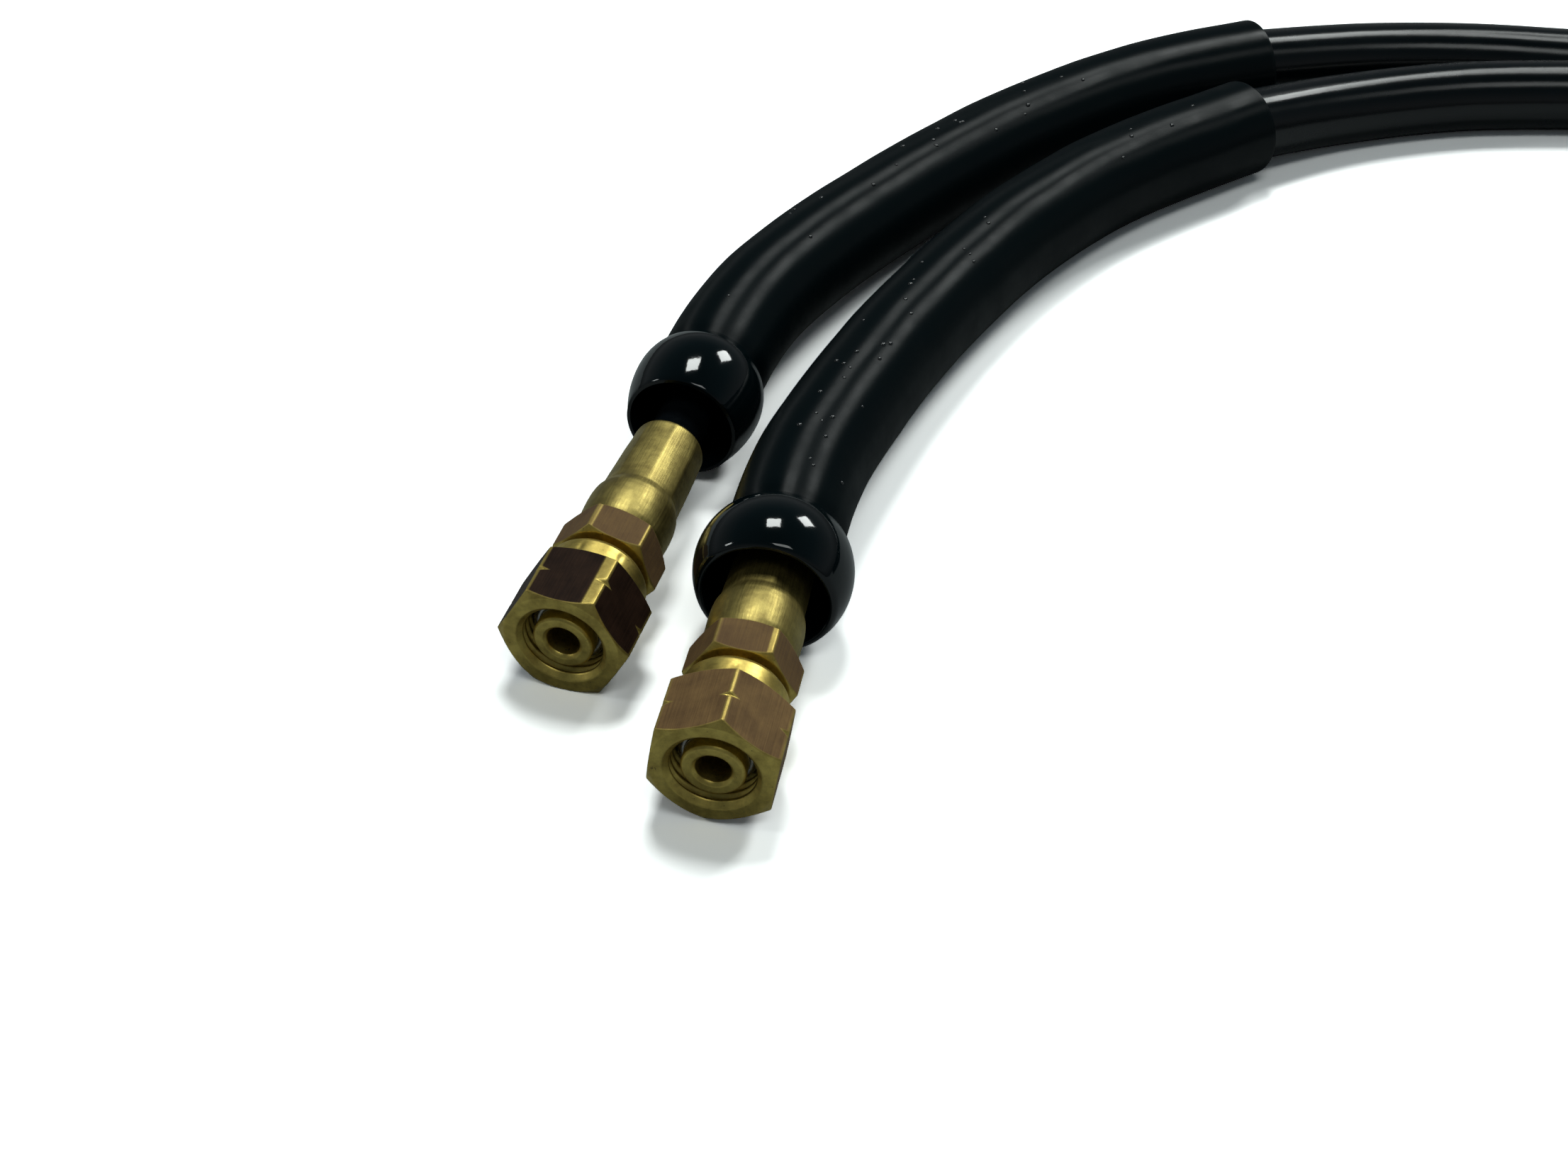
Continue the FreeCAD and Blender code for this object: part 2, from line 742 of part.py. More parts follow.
def check_and_write(nodes):
    for item in DOC.Objects:
        bad = [state for state in item.State if state in ("Invalid", "Error")]
        if bad:
            raise RuntimeError(f"{item.Label}: {bad}")
    for node in nodes:
        shape = node.Shape
        if shape.isNull() or not shape.isValid() or len(shape.Solids) != 1:
            raise RuntimeError(f"{node.Label}: bad shape, {len(shape.Solids)} solids")
    os.makedirs(OUT_DIR, exist_ok=True)
    for node in nodes:
        node.Shape.exportStep(f"{OUT_DIR}/{node.Label}.step")
        box = node.Shape.optimalBoundingBox(True, False)
        print(
            f"{node.Label}: {node.Shape.Volume:.0f} mm3,"
            f" x {box.XMin:.1f} {box.XMax:.1f}, y {box.YMin:.1f} {box.YMax:.1f},"
            f" z {box.ZMin:.2f} {box.ZMax:.2f}"
        )


check_and_write(build_all())
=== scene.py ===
import json
import math
import random

import bpy
import numpy as np
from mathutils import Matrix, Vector


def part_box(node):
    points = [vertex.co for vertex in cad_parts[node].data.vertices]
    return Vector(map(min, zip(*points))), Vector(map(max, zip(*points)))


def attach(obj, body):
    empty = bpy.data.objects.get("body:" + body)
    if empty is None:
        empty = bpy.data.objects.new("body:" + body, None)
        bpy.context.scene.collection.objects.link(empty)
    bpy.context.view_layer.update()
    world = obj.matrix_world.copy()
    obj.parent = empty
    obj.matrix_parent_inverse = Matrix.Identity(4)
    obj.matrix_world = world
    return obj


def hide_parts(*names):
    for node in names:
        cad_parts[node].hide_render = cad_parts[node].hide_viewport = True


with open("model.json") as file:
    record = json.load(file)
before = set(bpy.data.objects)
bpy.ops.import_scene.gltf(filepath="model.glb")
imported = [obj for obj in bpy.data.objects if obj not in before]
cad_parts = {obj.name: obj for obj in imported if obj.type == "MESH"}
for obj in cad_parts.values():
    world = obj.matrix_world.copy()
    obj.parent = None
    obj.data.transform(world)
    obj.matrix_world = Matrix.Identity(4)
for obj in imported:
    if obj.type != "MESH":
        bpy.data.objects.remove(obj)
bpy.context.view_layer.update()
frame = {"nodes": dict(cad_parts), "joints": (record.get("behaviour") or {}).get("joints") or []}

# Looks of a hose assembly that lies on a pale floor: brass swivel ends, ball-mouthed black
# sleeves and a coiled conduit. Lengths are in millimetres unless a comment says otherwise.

MM = 0.001
SIDES = ("left", "right")

# ---------------------------------------------------------------- sizes and routes

CAMERA_PLACE = (-26.5, -329.0, 229.0)
CAMERA_TILT = 50.35  # degrees up from straight down
CAMERA_LENS = 55.8
SENSOR_WIDTH = 36.0

# depths are measured from a nut's face, towards the sleeve
RING_DEPTH = 3.95  # the retaining ring, where the nut's spin joint is
NUT_ACROSS_FLATS = 17.0
NUT_CORNER = 9.815
TAIL_ACROSS_FLATS = 14.0
TAIL_CORNER = 8.08
THREAD_PITCH = 1.337
THREAD_CREST = 5.9
THREAD_ROOT = 6.55
THREAD_START = 0.95
THREAD_END = 9.0
BALL_DEPTH = {"left": 59.05, "right": 39.86}
BALL_RADIUS = {"left": 10.3, "right": 11.5}
FRONT_ARC = {"left": 20.0, "right": 11.5}
MOUTH_AHEAD = {"left": 8.0, "right": 5.8}
MOUTH_RADIUS = {"left": 8.4, "right": 9.1}
BELL_WALL = 1.3
CREASE_RADIUS = 8.05
SLEEVE_RADIUS = 8.65
SLEEVE_BORE = 6.55
SLEEVE_EDGE = 1.3
CONDUIT_RADIUS = 6.5
FIRST_STRAIGHT = 22.0

SLEEVE_ROUTE = {
    "left": [
        (-24.0, 19.5, 10.6),
        (-12.5, 36.0, 9.5),
        (-0.5, 50.5, 8.8),
        (14.0, 65.5, 8.65),
        (30.0, 78.0, 8.65),
        (47.5, 88.5, 8.65),
        (64.5, 94.5, 8.65),
    ],
    "right": [
        (-16.5, -23.0, 11.8),
        (-7.0, -1.5, 10.2),
        (4.0, 18.5, 9.0),
        (17.0, 37.0, 8.65),
        (35.5, 55.5, 8.65),
        (59.0, 70.5, 8.65),
    ],
}
CONDUIT_ROUTE = {
    "left": [
        (79.5, 99.2, 7.5),
        (95.0, 101.6, 6.7),
        (110.0, 101.4, 6.5),
        (124.5, 99.2, 6.5),
        (142.5, 96.6, 6.6),
        (166.5, 94.4, 7.0),
        (193.5, 92.9, 7.3),
        (220.5, 92.6, 7.3),
        (244.5, 93.2, 7.3),
    ],
    "right": [
        (68.5, 76.0, 7.5),
        (80.0, 80.8, 6.7),
        (93.0, 84.3, 6.5),
        (106.5, 86.3, 6.5),
        (131.8, 86.2, 6.5),
        (157.1, 78.0, 9.3),
        (178.6, 62.3, 15.2),
        (194.3, 40.8, 20.5),
        (202.3, 16.0, 20.9),
    ],
}
COIL_CENTRE = (270.2, 18.2)
COIL_END = 984.0  # degrees wound, clockwise from the +Y side, when the conduit leaves the coil
COIL_STEPS = 43
# how the turns lie: degrees wound, radius, height of the conduit's middle
COIL_TURNS = [
    (0.0, 75.2, 7.3),
    (312.0, 75.2, 7.3),
    (362.0, 62.0, 7.3),
    (640.0, 62.0, 7.3),
    (668.0, 63.5, 13.0),
    (694.0, 66.8, 20.4),
    (716.0, 68.6, 18.7),
    (984.0, 68.6, 18.7),
]


# ---------------------------------------------------------------- camera, lights, floor


def add_camera():
    data = bpy.data.cameras.new("camera")
    data.lens = CAMERA_LENS
    data.sensor_width = SENSOR_WIDTH
    data.clip_start = 0.01
    camera = bpy.data.objects.new("camera", data)
    camera.location = tuple(part * MM for part in CAMERA_PLACE)
    camera.rotation_euler = (math.radians(CAMERA_TILT), 0.0, 0.0)
    bpy.context.scene.collection.objects.link(camera)
    bpy.context.scene.camera = camera


def add_softbox(name, azimuth, elevation, width, height, brightness):
    """A far lamp that faces the fittings. Azimuth is from +Y towards +X, in degrees; width and
    height are what it spans as seen from the fittings, in radians; brightness is its radiance."""
    distance = 2.5
    data = bpy.data.lights.new(name, "AREA")
    data.shape = "RECTANGLE"
    data.size = width * distance
    data.size_y = height * distance
    data.energy = brightness * math.pi * data.size * data.size_y
    data.color = (0.95, 1.0, 0.98)
    turn, tilt = math.radians(azimuth), math.radians(elevation)
    way = Vector(
        (math.sin(turn) * math.cos(tilt), math.cos(turn) * math.cos(tilt), math.sin(tilt))
    )
    lamp = bpy.data.objects.new(name, data)
    lamp.location = Vector((0.0, -0.02, 0.015)) + way * distance
    lamp.rotation_euler = way.to_track_quat("Z", "Y").to_euler()
    bpy.context.scene.collection.objects.link(lamp)


def add_world():
    """A dim room: grey walls, darker overhead."""
    world = bpy.data.worlds.new("room")
    world.use_nodes = True
    tree = world.node_tree
    tree.nodes.clear()
    where = tree.nodes.new("ShaderNodeTexCoord")
    split = tree.nodes.new("ShaderNodeSeparateXYZ")
    ramp = tree.nodes.new("ShaderNodeValToRGB")
    light = tree.nodes.new("ShaderNodeBackground")
    out = tree.nodes.new("ShaderNodeOutputWorld")
    ramp.color_ramp.elements[0].position = 0.0
    ramp.color_ramp.elements[0].color = (0.05, 0.05, 0.05, 1)
    ramp.color_ramp.elements[1].position = 1.0
    ramp.color_ramp.elements[1].color = (0.02, 0.025, 0.028, 1)
    walls = ramp.color_ramp.elements.new(0.18)
    walls.color = (0.15, 0.16, 0.165, 1)
    upper = ramp.color_ramp.elements.new(0.62)
    upper.color = (0.045, 0.062, 0.07, 1)
    tree.links.new(where.outputs["Generated"], split.inputs[0])
    tree.links.new(split.outputs["Z"], ramp.inputs["Fac"])
    tree.links.new(ramp.outputs["Color"], light.inputs["Color"])
    tree.links.new(light.outputs[0], out.inputs["Surface"])
    bpy.context.scene.world = world


def add_floor():
    """A pale floor, much brighter to the camera than it is in light and reflections."""
    mesh = bpy.data.meshes.new("floor")
    half = 2.0  # metres
    corners = [(-half, -half, 0), (half, -half, 0), (half, half, 0), (-half, half, 0)]
    mesh.from_pydata(corners, [], [(0, 1, 2, 3)])
    made = bpy.data.materials.new("floor_white")
    made.use_nodes = True
    tree = made.node_tree
    tree.nodes.clear()
    path = tree.nodes.new("ShaderNodeLightPath")
    seen = tree.nodes.new("ShaderNodeBsdfDiffuse")
    seen.inputs["Color"].default_value = (2.2, 2.2, 2.2, 1)
    real = tree.nodes.new("ShaderNodeBsdfDiffuse")
    real.inputs["Color"].default_value = (0.31, 0.335, 0.34, 1)
    mix = tree.nodes.new("ShaderNodeMixShader")
    out = tree.nodes.new("ShaderNodeOutputMaterial")
    tree.links.new(path.outputs["Is Camera Ray"], mix.inputs["Fac"])
    tree.links.new(real.outputs[0], mix.inputs[1])
    tree.links.new(seen.outputs[0], mix.inputs[2])
    tree.links.new(mix.outputs[0], out.inputs["Surface"])
    mesh.materials.append(made)
    floor = bpy.data.objects.new("floor", mesh)
    bpy.context.scene.collection.objects.link(floor)


# ---------------------------------------------------------------- material helpers


class Shading:
    """A new material's nodes, with short calls for the ones that this scene uses."""

    def __init__(self, name, metallic=0.0, ior=1.5):
        self.material = bpy.data.materials.new(name)
        self.material.use_nodes = True
        self.tree = self.material.node_tree
        self.shader = self.tree.nodes["Principled BSDF"]
        self.shader.inputs["Metallic"].default_value = metallic
        self.shader.inputs["IOR"].default_value = ior
        self.bumped = None

    def node(self, kind, **settings):
        made = self.tree.nodes.new(kind)
        for key, value in settings.items():
            setattr(made, key, value)
        return made

    def join(self, source, socket):
        """Link a socket, or set a plain number or colour."""
        if isinstance(source, bpy.types.NodeSocket):
            self.tree.links.new(source, socket)
        else:
            socket.default_value = source

    def place(self, coordinate, scale):
        """Coordinates in millimetres, stretched: the piece's own frame, or its turned surface."""
        where = self.node("ShaderNodeTexCoord")
        mapping = self.node("ShaderNodeMapping")
        mapping.inputs["Scale"].default_value = scale
        self.tree.links.new(where.outputs[coordinate], mapping.inputs["Vector"])
        return mapping.outputs["Vector"]

    def noise(self, scale, stretch=(1, 1, 1), detail=3.0, roughness=0.5, coordinate="Object"):
        """Noise with this many features per millimetre, as a number from 0 to 1."""
        per_unit = 1000.0 if coordinate == "Object" else 1.0
        made = self.node("ShaderNodeTexNoise")
        made.inputs["Scale"].default_value = scale
        made.inputs["Detail"].default_value = detail
        made.inputs["Roughness"].default_value = roughness
        vector = self.place(coordinate, tuple(per_unit * part for part in stretch))
        self.tree.links.new(vector, made.inputs["Vector"])
        return made.outputs["Fac"]

    def attribute(self, name):
        return self.node("ShaderNodeAttribute", attribute_name=name).outputs["Fac"]

    def remap(self, value, low, high, out_low=0.0, out_high=1.0):
        made = self.node("ShaderNodeMapRange")
        for key, number in zip(
            ("From Min", "From Max", "To Min", "To Max"), (low, high, out_low, out_high)
        ):
            made.inputs[key].default_value = number
        self.join(value, made.inputs["Value"])
        return made.outputs["Result"]

    def calc(self, operation, first, second=0.0):
        made = self.node("ShaderNodeMath", operation=operation)
        self.join(first, made.inputs[0])
        self.join(second, made.inputs[1])
        return made.outputs[0]

    def blend(self, share, first, second):
        """A colour between two, by share."""
        made = self.node("ShaderNodeMix", data_type="RGBA")
        self.join(share, made.inputs[0])
        self.join(first, made.inputs[6])
        self.join(second, made.inputs[7])
        return made.outputs[2]

    def colour(self, source):
        self.join(source, self.shader.inputs["Base Color"])

    def roughness(self, source):
        self.join(source, self.shader.inputs["Roughness"])

    def lengthwise(self, share):
        """Gloss that spreads along the surface map's U, which runs along a tube."""
        self.shader.inputs["Anisotropic"].default_value = share
        way = self.node("ShaderNodeTangent", direction_type="UV_MAP")
        self.join(way.outputs[0], self.shader.inputs["Tangent"])

    def bump(self, height, depth, strength=1.0):
        """Relief whose full swing is depth millimetres, on top of the relief so far."""
        made = self.node("ShaderNodeBump")
        made.inputs["Strength"].default_value = strength
        made.inputs["Distance"].default_value = depth * MM
        self.join(height, made.inputs["Height"])
        if self.bumped is not None:
            self.join(self.bumped, made.inputs["Normal"])
        self.bumped = made.outputs["Normal"]
        self.join(self.bumped, self.shader.inputs["Normal"])


def colour(red, green, blue):
    return (red, green, blue, 1.0)


# ---------------------------------------------------------------- materials


def brass(name, skin_light, skin_dark, bright, dull):
    """Brass with bright turned faces and, where the skin attribute is 1, oxidised drawn flats.
    The turned surface's map runs round the piece in U and along its outline in V."""
    look = Shading(name)
    look.shader.inputs["Specular IOR Level"].default_value = 0.06
    skin = look.attribute("skin")
    blotch = look.noise(0.25, detail=4.0, roughness=0.6)
    streak = look.noise(1.0, (4.5, 0.10, 1.0), 4.0, 0.65, "UV")
    rings = look.noise(1.0, (0.04, 7.0, 1.0), 3.0, 0.6, "UV")
    patch = look.calc(
        "ADD", look.calc("MULTIPLY", streak, 0.6), look.calc("MULTIPLY", blotch, 0.6)
    )
    oxide = look.blend(look.remap(patch, 0.45, 0.78), skin_dark, skin_light)
    tarnish = look.remap(look.noise(0.38, detail=6.0, roughness=0.68), 0.40, 0.68)
    clean = look.blend(tarnish, bright, dull)
    stain = look.remap(look.noise(0.9, detail=4.0, roughness=0.7), 0.66, 0.72)
    clean = look.blend(stain, clean, colour(0.16, 0.10, 0.04))
    look.colour(look.blend(skin, clean, oxide))
    look.join(look.remap(skin, 0.0, 1.0, 1.0, 0.12), look.shader.inputs["Metallic"])
    fine = look.remap(rings, 0.3, 0.7, 0.34, 0.48)
    drawn = look.remap(streak, 0.3, 0.75, 0.46, 0.60)
    mix = look.node("ShaderNodeMix", data_type="FLOAT")
    look.join(skin, mix.inputs[0])
    look.join(fine, mix.inputs[2])
    look.join(drawn, mix.inputs[3])
    look.roughness(mix.outputs[0])
    look.bump(look.calc("MULTIPLY", streak, skin), 0.04)
    look.bump(rings, 0.005)
    look.bump(look.noise(0.7, detail=2.0), 0.025)
    return look.material


def ferrule_brass():
    """Bright crimped brass with faint lengthwise drawing marks."""
    look = Shading("ferrule_brass", metallic=1.0)
    streak = look.noise(1.0, (3.2, 0.16, 1.0), 3.0, 0.6, "UV")
    tarnish = look.remap(look.noise(0.35, detail=5.0, roughness=0.65), 0.4, 0.75)
    clean = look.blend(tarnish, colour(0.42, 0.335, 0.105), colour(0.23, 0.175, 0.055))
    stain = look.remap(look.noise(0.8, detail=4.0, roughness=0.7), 0.68, 0.73)
    look.colour(look.blend(stain, clean, colour(0.20, 0.13, 0.05)))
    look.roughness(look.remap(streak, 0.3, 0.75, 0.38, 0.54))
    look.bump(streak, 0.020)
    look.bump(look.noise(0.45, detail=2.0), 0.05)
    return look.material


def sleeve_black(name, roughness, lengthwise, specular):
    """Black dipped rubber: slow waves, fine orange peel and a little dust."""
    look = Shading(name, ior=1.45)
    look.shader.inputs["Specular IOR Level"].default_value = specular
    cloud = look.noise(0.12, detail=4.0, roughness=0.6)
    look.colour(look.blend(cloud, colour(0.0008, 0.0030, 0.0038), colour(0.0016, 0.0048, 0.0060)))
    dust = look.remap(look.noise(1.6, detail=6.0, roughness=0.75), 0.62, 0.80)
    smooth = look.remap(cloud, 0.3, 0.7, roughness * 0.85, roughness * 1.15)
    look.roughness(look.calc("ADD", smooth, look.calc("MULTIPLY", dust, 0.08)))
    if lengthwise:
        look.lengthwise(lengthwise)
    look.bump(look.noise(0.16, detail=1.0), 0.05)
    look.bump(look.noise(0.6, detail=2.0), 0.010)
    look.bump(look.noise(2.4, detail=3.0), 0.002)
    return look.material


def conduit_black(lengthwise=0.0):
    """Very glossy extruded black plastic with faint ripples."""
    look = Shading("conduit_black", ior=1.5)
    cloud = look.noise(0.10, detail=3.0)
    look.colour(look.blend(cloud, colour(0.0006, 0.0022, 0.0030), colour(0.0012, 0.0034, 0.0046)))
    if lengthwise:
        look.lengthwise(lengthwise)
        look.roughness(look.remap(cloud, 0.3, 0.7, 0.24, 0.29))
    else:
        look.roughness(look.remap(cloud, 0.3, 0.7, 0.05, 0.10))
    look.bump(look.noise(0.16, detail=2.0), 0.05)
    look.bump(look.noise(1.4, detail=2.0), 0.002)
    return look.material


def hose_black():
    """The thin hose's glossy cover, over a braid that shows through faintly."""
    look = Shading("hose_black", ior=1.5)
    mottle = look.noise(0.8, detail=3.0)
    look.colour(look.blend(mottle, colour(0.002, 0.003, 0.004), colour(0.005, 0.007, 0.009)))
    look.roughness(look.remap(mottle, 0.3, 0.7, 0.08, 0.16))
    look.bump(look.noise(1.1, (1.0, 0.35, 1.0), 2.0), 0.02)
    return look.material


def plain_material(name, base, shade, roughness, metallic=0.0, grain=1.0, relief=0.02):
    """A simple mottled material for pieces that hardly show."""
    look = Shading(name, metallic=metallic)
    mottle = look.noise(grain, detail=3.0)
    look.colour(look.blend(mottle, base, shade))
    look.roughness(look.remap(mottle, 0.3, 0.7, roughness * 0.85, roughness * 1.15))
    look.bump(mottle, relief)
    return look.material


def yarn_braid():
    """Crossing yarns of the hose's braid."""
    look = Shading("yarn_braid")
    lines = look.node("ShaderNodeTexWave", wave_type="BANDS", bands_direction="DIAGONAL")
    lines.inputs["Scale"].default_value = 1.6
    look.tree.links.new(look.place("Object", (1000, 1000, 1000)), lines.inputs["Vector"])
    dark, pale = colour(0.34, 0.33, 0.30), colour(0.62, 0.60, 0.55)
    look.colour(look.blend(lines.outputs["Fac"], dark, pale))
    look.roughness(0.8)
    look.bump(lines.outputs["Fac"], 0.12)
    return look.material


def tie_black():
    """Satin webbing strap with a fine cross rib."""
    look = Shading("tie_black")
    rib = look.node("ShaderNodeTexWave", wave_type="BANDS", bands_direction="Z")
    rib.inputs["Scale"].default_value = 0.9
    look.tree.links.new(look.place("Object", (1000, 1000, 1000)), rib.inputs["Vector"])
    mottle = look.noise(0.9, detail=3.0)
    look.colour(look.blend(mottle, colour(0.014, 0.014, 0.016), colour(0.035, 0.035, 0.038)))
    look.roughness(look.remap(mottle, 0.3, 0.7, 0.45, 0.62))
    look.bump(rib.outputs["Fac"], 0.05)
    return look.material


# ---------------------------------------------------------------- mesh helpers


def add_piece(name, vertices, faces, material, body, replaced, skin=None, uv=None):
    """A smooth mesh piece, its vertices given in millimetres, riding on a body."""
    mesh = bpy.data.meshes.new(name)
    mesh.from_pydata((np.asarray(vertices) * MM).tolist(), [], faces)
    mesh.shade_smooth()
    mesh.materials.append(material)
    if skin is not None:
        attribute = mesh.attributes.new("skin", "FLOAT", "POINT")
        attribute.data.foreach_set("value", np.asarray(skin, np.float32).ravel())
    if uv is not None:
        layer = mesh.uv_layers.new(name="turned")
        layer.data.foreach_set("uv", np.asarray(uv, np.float32).ravel())
    piece = bpy.data.objects.new(name, mesh)
    bpy.context.scene.collection.objects.link(piece)
    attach(piece, body)
    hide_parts(*replaced)
    return piece


def softened(corners, edge, step):
    """A closed outline through (radius, depth) corners, each corner eased by edge, with points
    at most step apart."""
    corners = np.array(corners, float)
    eased = []
    for before, corner, after in zip(np.roll(corners, 1, 0), corners, np.roll(corners, -1, 0)):
        back, ahead = before - corner, after - corner
        near = min(edge, 0.35 * np.linalg.norm(back), 0.35 * np.linalg.norm(ahead))
        start = corner + back / np.linalg.norm(back) * near
        end = corner + ahead / np.linalg.norm(ahead) * near
        eased += [start, (start + end + 2 * corner) / 4, end]
    outline = []
    for here, there in zip(eased, eased[1:] + eased[:1]):
        count = max(1, math.ceil(np.linalg.norm(there - here) / step))
        outline += [here + (there - here) * k / count for k in range(count)]
    return np.array(outline)


def turned_grid(outline, steps, shape):
    """A closed outline turned about its axis. shape(radius, angle, depth) returns the radii and
    the skin weights. Gives radius, angle, depth and skin grids."""
    angle = np.linspace(0, 2 * math.pi, steps, endpoint=False) - math.pi / 2
    radius = np.repeat(outline[:, :1], steps, 1)
    depth = np.repeat(outline[:, 1:], steps, 1)
    angle = np.repeat(angle[None, :], len(outline), 0)
    radius, skin = shape(radius, angle, depth)
    return radius, angle, depth, skin


def ring_faces(rows, columns, closed_rows):
    """Quads between neighbouring rings, and each corner's (column, row) without wrapping."""
    faces, corners = [], []
    for i in range(rows if closed_rows else rows - 1):
        below, above = i * columns, ((i + 1) % rows) * columns
        for j in range(columns):
            k = (j + 1) % columns
            faces.append((below + j, below + k, above + k, above + j))
            corners += [(j, i), (j + 1, i), (j + 1, i + 1), (j, i + 1)]
    return faces, np.array(corners, float)


def end_frame(side):
    """The middle of the nut's face, the way towards the sleeve, across, and up."""
    joints = {joint["name"]: joint for joint in frame["joints"]}
    along = Vector(joints[f"hose_slide_{side}"]["axis"]).normalized()
    ring = Vector(joints[f"nut_spin_{side}"]["pos_m"]) / MM
    across = along.cross(Vector((0, 0, 1))).normalized()
    return np.array(ring - along * RING_DEPTH), np.array(along), np.array(across), np.array(
        across.cross(along)
    )


def corner_angle(node, side, reach):
    """The angle of a hexagon's corner about the end's axis, from the CAD node's points that lie
    more than reach from the axis."""
    face, along, across, up = end_frame(side)
    points = np.array([v.co for v in frame["nodes"][node].data.vertices]) / MM - face
    x, y = points @ across, points @ up
    radius = np.hypot(x, y)
    outer = radius > reach
    turns = np.exp(6j * np.arctan2(y[outer], x[outer])).mean()
    return float(np.angle(turns) / 6)


def turned_piece(name, side, outline, steps, shape, material, body, replaced):
    face, along, across, up = end_frame(side)
    radius, angle, depth, skin = turned_grid(outline, steps, shape)
    x, y = radius * np.cos(angle), radius * np.sin(angle)
    points = face + x[..., None] * across + y[..., None] * up + depth[..., None] * along
    faces, corners = ring_faces(len(outline), steps, True)
    travel = np.linalg.norm(np.roll(outline, -1, 0) - outline, axis=1)
    along_outline = np.concatenate([[0.0], np.cumsum(travel)])
    widest = outline[:, 0].max()
    uv = np.empty_like(corners)
    uv[:, 0] = corners[:, 0] * 2 * math.pi / steps * widest
    uv[:, 1] = along_outline[corners[:, 1].astype(int)]
    return add_piece(
        name, points.reshape(-1, 3), faces, material, body, replaced, skin, uv
    )


def soft_min(first, second, width):
    """The smaller of two, rounded where they cross, and the share of the second."""
    share = np.clip(0.5 + 0.5 * (first - second) / width, 0, 1)
    return first + (second - first) * share - width * share * (1 - share), share


def hexagon_radius(angle, across_flats, corner):
    turn = (angle - corner) % (math.pi / 3) - math.pi / 6
    return across_flats / 2 / np.cos(turn)


# ---------------------------------------------------------------- brass fittings


def nut_outline():
    return softened(
        [
            (6.7, 0.0),
            (8.45, 0.0),
            (NUT_CORNER, 0.885),
            (NUT_CORNER, 5.15),
            (9.25, 5.6),
            (NUT_CORNER, 6.05),
            (NUT_CORNER, 10.2),
            (8.2, 11.0),
            (7.5, 11.0),
            (7.5, 14.3),
            (6.7, 15.4),
            (4.75, 15.4),
            (4.75, 11.5),
            (6.6, 11.5),
            (6.6, 9.6),
            (THREAD_CREST, 8.9),
            (THREAD_CREST, 0.85),
        ],
        0.12,
        0.16,
    )


def worn_off(skin, angle, worn):
    """The skin weights, less the strips (from, to, in degrees about the axis) that are rubbed
    bright."""
    turn = np.degrees(angle) % 360
    for start, end in worn:
        strip = np.clip((turn - start) / 0.8, 0, 1) * np.clip((end - turn) / 0.8, 0, 1)
        skin = skin * (1 - 0.6 * strip)
    return skin


def nut_shape(corner, dents, worn):
    """Mills the flats, cuts the thread and dents the collar of a turned nut."""

    def shape(radius, angle, depth):
        flats = hexagon_radius(angle, NUT_ACROSS_FLATS, corner)
        milled, skin = soft_min(radius, flats, 0.22)
        on_hexagon = (radius > 8.3) & (depth < 11.0)
        inside_thread = (radius < 6.2) & (depth > THREAD_START) & (depth < THREAD_END)
        phase = (depth / THREAD_PITCH - angle / (2 * math.pi)) % 1
        wave = 1 - np.abs(2 * phase - 1)
        fade_in = np.clip((depth - THREAD_START) / 0.5, 0, 1)
        fade = fade_in * np.clip((THREAD_END - depth) / 0.5, 0, 1)
        groove = (THREAD_ROOT - THREAD_CREST) * fade * np.clip(wave * 1.25 - 0.1, 0, 1)
        thread = THREAD_CREST + groove
        radius = np.where(on_hexagon, milled, np.where(inside_thread, thread, radius))
        collar = (radius > 6.9) & (depth > 11.4) & (depth < 15.0)
        for at, place, width, length, deep in dents:
            turn = (angle - at + math.pi) % (2 * math.pi) - math.pi
            spread = np.exp(-((turn * 7.5 / width) ** 2) - ((depth - place) / length) ** 2)
            radius = radius - np.where(collar, deep * spread, 0.0)
        skin = worn_off(np.clip(skin * 1.4 - 0.4, 0, 1), angle, worn)
        return radius, np.where(on_hexagon, skin, 0.0)

    return shape


def make_nut(side, material, dents, worn):
    node = f"swivel_nut_{side}"
    corner = corner_angle(node, side, 9.7)
    return turned_piece(
        f"swivel_nut_{side}_turned",
        side,
        nut_outline(),
        300,
        nut_shape(corner, dents, worn),
        material,
        f"nut_{side}",
        [node],
    )


def tail_outline():
    return softened(
        [
            (2.9, 0.53),
            (4.08, 0.53),
            (4.43, 0.88),
            (4.43, 3.1),
            (3.78, 3.1),
            (3.78, 4.8),
            (4.43, 4.8),
            (4.43, 16.5),
            (7.0, 16.5),
            (TAIL_CORNER, 17.1),
            (TAIL_CORNER, 21.7),
            (7.0, 22.3),
            (3.6, 22.3),
            (3.6, 24.6),
            (4.05, 24.6),
            (4.05, 25.6),
            (2.3, 25.9),
            (2.3, 44.0),
            (1.7, 44.0),
            (1.7, 20.6),
            (2.45, 20.0),
            (2.45, 0.98),
        ],
        0.10,
        0.22,
    )


def tail_shape(corner, worn):
    """Mills the flats of a turned tail."""

    def shape(radius, angle, depth):
        flats = hexagon_radius(angle, TAIL_ACROSS_FLATS, corner)
        milled, skin = soft_min(radius, flats, 0.2)
        on_hexagon = (radius > 6.5) & (depth > 16.4) & (depth < 22.4)
        skin = worn_off(skin, angle, worn)
        return np.where(on_hexagon, milled, radius), np.where(on_hexagon, skin, 0.0)

    return shape


def make_tail(side, material, worn):
    node = f"hose_tail_{side}"
    return turned_piece(
        f"hose_tail_{side}_turned",
        side,
        tail_outline(),
        220,
        tail_shape(corner_angle(node, side, 8.0), worn),
        material,
        f"hose_end_{side}",
        [node],
    )


